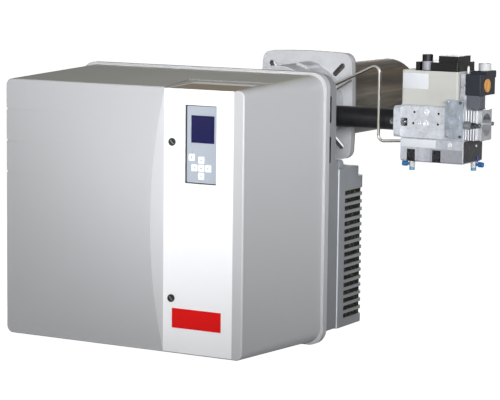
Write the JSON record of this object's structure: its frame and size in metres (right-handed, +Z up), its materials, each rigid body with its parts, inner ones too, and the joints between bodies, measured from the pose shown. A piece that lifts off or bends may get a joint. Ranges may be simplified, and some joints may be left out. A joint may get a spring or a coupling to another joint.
{
  "type": "industrial gas burner",
  "caption": "Forced-draught gas burner: drafted lift-off hood with display panel, louvred air box, square boiler flange, long blast tube and a side gas valve with pressure switch.",
  "frame": {"origin": "on the blast tube's axis, at the face of the flange gasket that meets the boiler", "axes": "+Y along the blast tube into the boiler, +Z up, +X towards the gas valve; the hood faces -Y"},
  "size_m": [0.8755, 0.8938, 0.5875],
  "materials": {
    "hood_grey": "satin",
    "panel_white": "satin",
    "badge_red": "satin",
    "black_plastic": "matt",
    "base_grey": "satin",
    "air_box_grey": "matt",
    "filter_brown": "open mesh",
    "cast_aluminium": "as cast",
    "machined_aluminium": "machined",
    "sheet_steel": "zinc plated",
    "tube_steel": "heat tinted",
    "bolt_steel": "zinc plated",
    "pipe_black": "satin paint",
    "motor_paint": "satin paint",
    "gasket_white": "fibre",
    "bezel_grey": "satin",
    "screen_blue": "gloss",
    "key_white": "satin",
    "coil_beige": "satin",
    "plug_grey": "satin",
    "dial_orange": "satin",
    "plug_blue": "gloss",
    "fan_steel": "sheet",
    "ceramic": "glazed"
  },
  "bodies": {
    "burner": {"front_supports": "sheet_steel", "display_module": "bezel_grey", "display_screen": "screen_blue", "base_housing": "base_grey", "air_box": "air_box_grey", "air_inlet_mesh": "filter_brown", "fan_scroll": "cast_aluminium", "scroll_cover": "cast_aluminium", "motor_body": "motor_paint", "motor_terminal_box": "black_plastic", "inlet_cone": "sheet_steel", "flap_duct": "sheet_steel", "flap_servomotor": "black_plastic", "burner_controller": "black_plastic", "ignition_transformer": "black_plastic", "air_pressure_switch": "plug_grey", "boiler_flange": "cast_aluminium", "flange_gasket": "gasket_white", "blast_tube": "tube_steel", "neck_collar": "cast_aluminium", "neck_clamp_bolt": "bolt_steel", "gas_elbow": "cast_aluminium", "gas_pipe": "pipe_black", "outlet_flange": "cast_aluminium", "inlet_flange": "machined_aluminium", "valve_body": "machined_aluminium", "coil_housing": "coil_beige", "valve_top_connector": "black_plastic", "front_cover_plate": "machined_aluminium", "valve_fasteners": "bolt_steel", "regulator_block": "machined_aluminium", "test_fittings": "machined_aluminium", "test_plugs": "plug_blue", "switch_adaptor": "sheet_steel", "gas_pressure_switch": "black_plastic", "switch_plug": "plug_grey", "impulse_tubes": "bolt_steel"},
    "hood": {"hood_shell": "hood_grey", "fascia": "panel_white", "badge_plate": "badge_red"},
    "fastener_upper": {"fastener_upper": "black_plastic"},
    "fastener_lower": {"fastener_lower": "black_plastic"},
    "fan": {"fan_wheel": "fan_steel", "motor_shaft": "bolt_steel"},
    "air_flap": {"air_flap": "sheet_steel"},
    "switch_dial": {"switch_dial": "dial_orange"},
    "valve_plunger_1": {"valve_plunger_1": "bolt_steel"},
    "valve_plunger_2": {"valve_plunger_2": "bolt_steel"},
    "ratio_adjuster_1": {"ratio_adjuster_1": "bolt_steel"},
    "ratio_adjuster_2": {"ratio_adjuster_2": "bolt_steel"},
    "mixing_head": {"gas_lance": "sheet_steel", "flame_disc": "sheet_steel", "electrodes": "ceramic"},
    "head_adjuster_knob": {"head_adjuster_knob": "black_plastic"},
    "key_reset": {"key_reset": "key_white"},
    "key_up": {"key_up": "key_white"},
    "key_left": {"key_left": "key_white"},
    "key_enter": {"key_enter": "key_white"},
    "key_right": {"key_right": "key_white"},
    "key_down": {"key_down": "key_white"}
  },
  "joints": [
    {"name": "hood_pull", "type": "slide", "parent": "burner", "child": "hood", "axis": [0, -1, 0], "range_m": [0, 0.3]},
    {"name": "fastener_upper_turn", "type": "hinge", "parent": "hood", "child": "fastener_upper", "pos_m": [-0.029, -0.501, -0.0404], "axis": [0, 1, 0], "range_deg": [0, 90]},
    {"name": "fastener_lower_turn", "type": "hinge", "parent": "hood", "child": "fastener_lower", "pos_m": [-0.029, -0.501, -0.3404], "axis": [0, 1, 0], "range_deg": [0, 90]},
    {"name": "fan_spin", "type": "hinge", "parent": "burner", "child": "fan", "pos_m": [-0.186, -0.2, -0.232], "axis": [0, 1, 0], "continuous": true},
    {"name": "air_flap_turn", "type": "hinge", "parent": "burner", "child": "air_flap", "pos_m": [-0.186, -0.098, -0.232], "axis": [0, 0, 1], "range_deg": [0, 90]},
    {"name": "key_reset_press", "type": "slide", "parent": "burner", "child": "key_reset", "axis": [0, 1, 0], "range_m": [0, 0.001], "stiffness_N_per_m": 1200, "springref_m": -0.0005},
    {"name": "key_up_press", "type": "slide", "parent": "burner", "child": "key_up", "axis": [0, 1, 0], "range_m": [0, 0.001], "stiffness_N_per_m": 1200, "springref_m": -0.0005},
    {"name": "key_left_press", "type": "slide", "parent": "burner", "child": "key_left", "axis": [0, 1, 0], "range_m": [0, 0.001], "stiffness_N_per_m": 1200, "springref_m": -0.0005},
    {"name": "key_enter_press", "type": "slide", "parent": "burner", "child": "key_enter", "axis": [0, 1, 0], "range_m": [0, 0.001], "stiffness_N_per_m": 1200, "springref_m": -0.0005},
    {"name": "key_right_press", "type": "slide", "parent": "burner", "child": "key_right", "axis": [0, 1, 0], "range_m": [0, 0.001], "stiffness_N_per_m": 1200, "springref_m": -0.0005},
    {"name": "key_down_press", "type": "slide", "parent": "burner", "child": "key_down", "axis": [0, 1, 0], "range_m": [0, 0.001], "stiffness_N_per_m": 1200, "springref_m": -0.0005},
    {"name": "switch_dial_turn", "type": "hinge", "parent": "burner", "child": "switch_dial", "pos_m": [0.438, -0.094, 0.064], "axis": [1, 0, 0], "range_deg": [0, 270]},
    {"name": "valve_1_lift", "type": "slide", "parent": "burner", "child": "valve_plunger_1", "axis": [0, 0, 1], "range_m": [0, 0.006], "stiffness_N_per_m": 1500, "springref_m": -0.012},
    {"name": "valve_2_lift", "type": "slide", "parent": "burner", "child": "valve_plunger_2", "axis": [0, 0, 1], "range_m": [0, 0.006], "stiffness_N_per_m": 1500, "springref_m": -0.012},
    {"name": "ratio_1_turn", "type": "hinge", "parent": "burner", "child": "ratio_adjuster_1", "pos_m": [0.296, -0.12, -0.077], "axis": [0, 1, 0], "range_deg": [-180, 180]},
    {"name": "ratio_2_turn", "type": "hinge", "parent": "burner", "child": "ratio_adjuster_2", "pos_m": [0.351, -0.12, -0.077], "axis": [0, 1, 0], "range_deg": [-180, 180]},
    {"name": "mixing_head_slide", "type": "slide", "parent": "burner", "child": "mixing_head", "axis": [0, -1, 0], "range_m": [0, 0.025]},
    {"name": "head_knob_turn", "type": "hinge", "parent": "burner", "child": "head_adjuster_knob", "pos_m": [0, -0.256, 0], "axis": [0, 1, 0], "range_deg": [0, 1800]}
  ],
  "couplings": [
    {"joint": "head_knob_turn", "follows": "mixing_head_slide", "rad_per_m": 1256.6}
  ]
}
